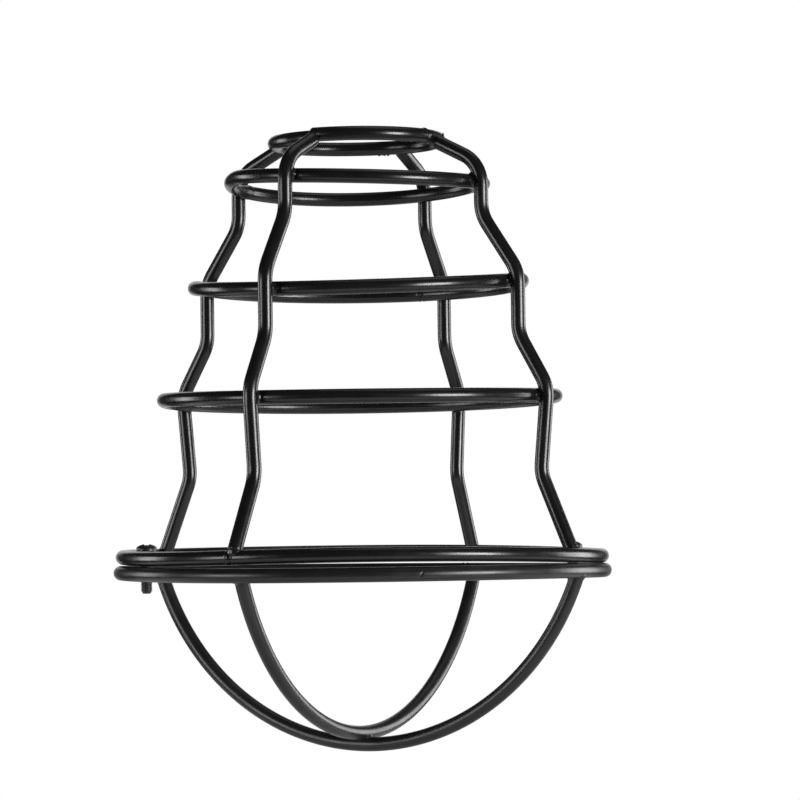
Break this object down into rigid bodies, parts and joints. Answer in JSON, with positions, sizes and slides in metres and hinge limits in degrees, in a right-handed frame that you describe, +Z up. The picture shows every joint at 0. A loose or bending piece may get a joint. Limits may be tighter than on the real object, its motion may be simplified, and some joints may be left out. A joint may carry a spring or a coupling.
{
  "type": "caged lampshade",
  "caption": "Tapering cage of welded round wire that hangs from a lampholder by its top ring, with a rounded wire guard screwed under its rim.",
  "frame": {"origin": "centre of the top ring's wire, which is the hole for the lampholder", "axes": "+Z up along the lamp's axis, +X towards the front right strut, +Y towards the back right strut"},
  "size_m": [0.145, 0.145, 0.1798],
  "materials": {
    "cage_coat": "satin black paint over steel wire",
    "guard_coat": "slightly duller black paint over steel wire",
    "screw_steel": "blackened steel"
  },
  "bodies": {
    "root": {"top_ring": "cage_coat", "neck_ring": "cage_coat", "shoulder_ring": "cage_coat", "waist_ring": "cage_coat", "rim_ring": "cage_coat", "strut_front_right": "cage_coat", "strut_back_right": "cage_coat", "strut_back_left": "cage_coat", "strut_front_left": "cage_coat", "rim_lug_left": "cage_coat", "rim_lug_right": "cage_coat", "guard_ring": "guard_coat", "guard_bow_outer": "guard_coat", "guard_bow_inner": "guard_coat", "guard_lug_left": "guard_coat", "guard_lug_right": "guard_coat", "screw_left": "screw_steel", "screw_right": "screw_steel"}
  },
  "joints": []
}
